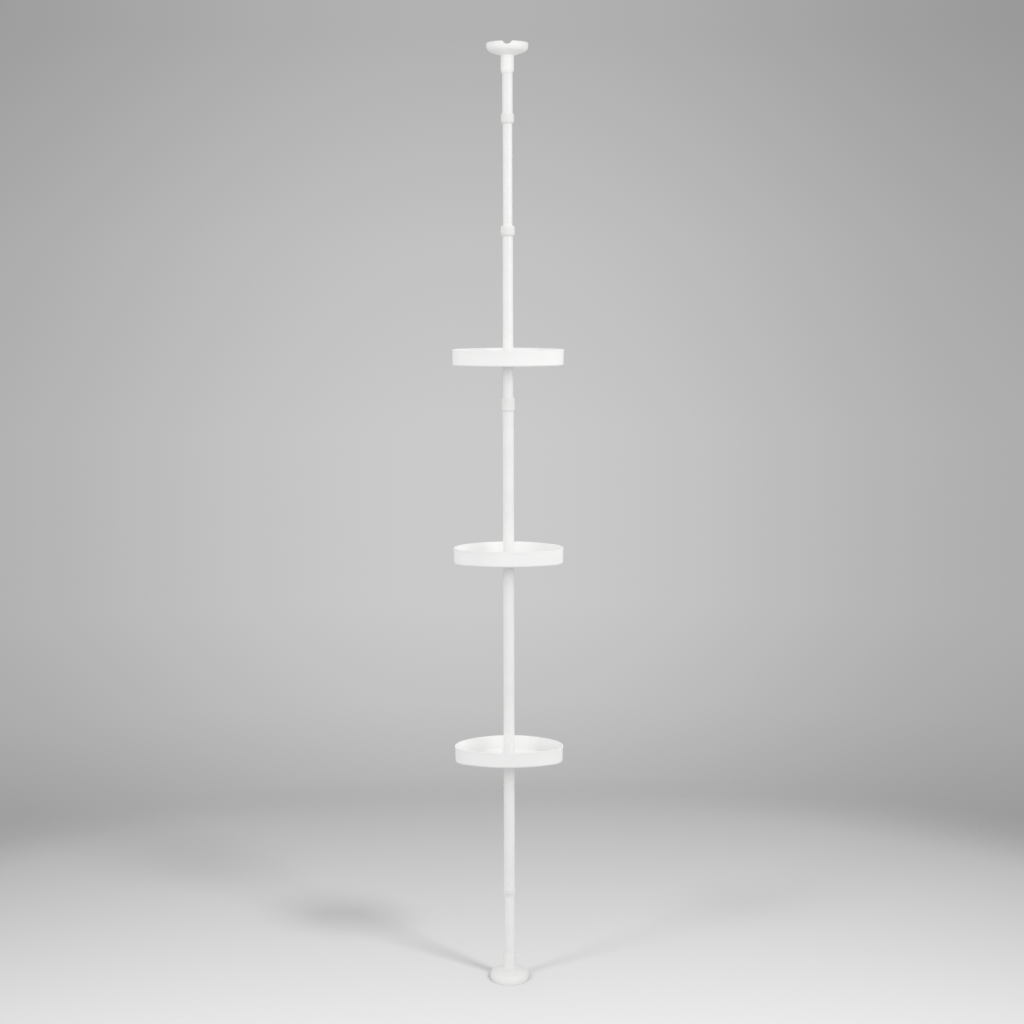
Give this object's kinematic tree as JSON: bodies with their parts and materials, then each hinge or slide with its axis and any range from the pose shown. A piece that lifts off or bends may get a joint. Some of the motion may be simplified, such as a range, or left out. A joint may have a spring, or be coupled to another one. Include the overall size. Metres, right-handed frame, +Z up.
{
  "type": "tension pole shelf unit",
  "caption": "Telescopic pole wedged between floor and ceiling by a spring, carrying open oval trays with solid walls that slide and turn on it.",
  "frame": {"origin": "on the pole's axis, at the floor, in the middle of the lower foot's underside", "axes": "+Z up along the pole; the trays' flatter front faces -Y; +X to the right seen from the front"},
  "size_m": [0.28, 0.166, 2.4],
  "materials": {
    "tube_paint": "smooth satin white powder coat",
    "fitting_plastic": "smooth white moulded plastic",
    "tray_plastic": "smooth white moulded plastic, faintly satin",
    "bush_plastic": "natural low-friction plastic",
    "pad_rubber": "pale grey non-slip rubber",
    "screw_steel": "zinc plated",
    "spring_steel": "oiled spring wire"
  },
  "bodies": {
    "base": {"floor_pad": "pad_rubber", "floor_foot": "fitting_plastic", "floor_plug": "bush_plastic", "floor_screw": "screw_steel", "leg_tube": "tube_paint", "leg_reducer": "fitting_plastic", "main_tube": "tube_paint", "lower_lock_collet": "fitting_plastic"},
    "lower_nut": {"lower_lock_nut": "fitting_plastic"},
    "extension": {"extension_tube": "tube_paint", "extension_bush": "bush_plastic", "upper_lock_collet": "fitting_plastic"},
    "upper_nut": {"upper_lock_nut": "fitting_plastic"},
    "top_section": {"top_tube": "tube_paint", "top_bush": "bush_plastic", "spring_stop": "bush_plastic"},
    "plunger": {"plunger_tube": "tube_paint", "plunger_bush": "bush_plastic", "plunger_collar": "fitting_plastic", "ceiling_foot": "fitting_plastic", "ceiling_plug": "bush_plastic", "ceiling_screw": "screw_steel", "ceiling_pad": "pad_rubber", "tension_spring": "spring_steel"},
    "lower_sleeve": {"lower_sleeve_left": "fitting_plastic", "lower_sleeve_right": "fitting_plastic"},
    "lower_tray": {"lower_tray": "tray_plastic"},
    "middle_sleeve": {"middle_sleeve_left": "fitting_plastic", "middle_sleeve_right": "fitting_plastic"},
    "middle_tray": {"middle_tray": "tray_plastic"},
    "upper_sleeve": {"upper_sleeve_left": "fitting_plastic", "upper_sleeve_right": "fitting_plastic"},
    "upper_tray": {"upper_tray": "tray_plastic"}
  },
  "joints": [
    {"name": "lower_lock_turn", "type": "hinge", "parent": "base", "child": "lower_nut", "pos_m": [0, 0, 1.519], "axis": [0, 0, 1], "range_deg": [0, 180]},
    {"name": "extension_slide", "type": "slide", "parent": "base", "child": "extension", "axis": [0, 0, 1], "range_m": [-0.03, 0.25]},
    {"name": "upper_lock_turn", "type": "hinge", "parent": "extension", "child": "upper_nut", "pos_m": [0, 0, 1.949], "axis": [0, 0, 1], "range_deg": [0, 180]},
    {"name": "top_slide", "type": "slide", "parent": "extension", "child": "top_section", "axis": [0, 0, 1], "range_m": [-0.2, 0.18]},
    {"name": "plunger_spring", "type": "slide", "parent": "top_section", "child": "plunger", "axis": [0, 0, 1], "range_m": [-0.04, 0], "stiffness_N_per_m": 2500, "springref_m": 0.024, "deforming": ["tension_spring"]},
    {"name": "lower_tray_height", "type": "slide", "parent": "base", "child": "lower_sleeve", "axis": [0, 0, 1], "range_m": [-0.3, 0.22]},
    {"name": "lower_tray_turn", "type": "hinge", "parent": "lower_sleeve", "child": "lower_tray", "pos_m": [0, 0, 0.5945], "axis": [0, 0, 1], "continuous": true},
    {"name": "middle_tray_height", "type": "slide", "parent": "base", "child": "middle_sleeve", "axis": [0, 0, 1], "range_m": [-0.22, 0.28]},
    {"name": "middle_tray_turn", "type": "hinge", "parent": "middle_sleeve", "child": "middle_tray", "pos_m": [0, 0, 1.1145], "axis": [0, 0, 1], "continuous": true},
    {"name": "upper_tray_height", "type": "slide", "parent": "extension", "child": "upper_sleeve", "axis": [0, 0, 1], "range_m": [-0.045, 0.25]},
    {"name": "upper_tray_turn", "type": "hinge", "parent": "upper_sleeve", "child": "upper_tray", "pos_m": [0, 0, 1.6165], "axis": [0, 0, 1], "continuous": true}
  ]
}
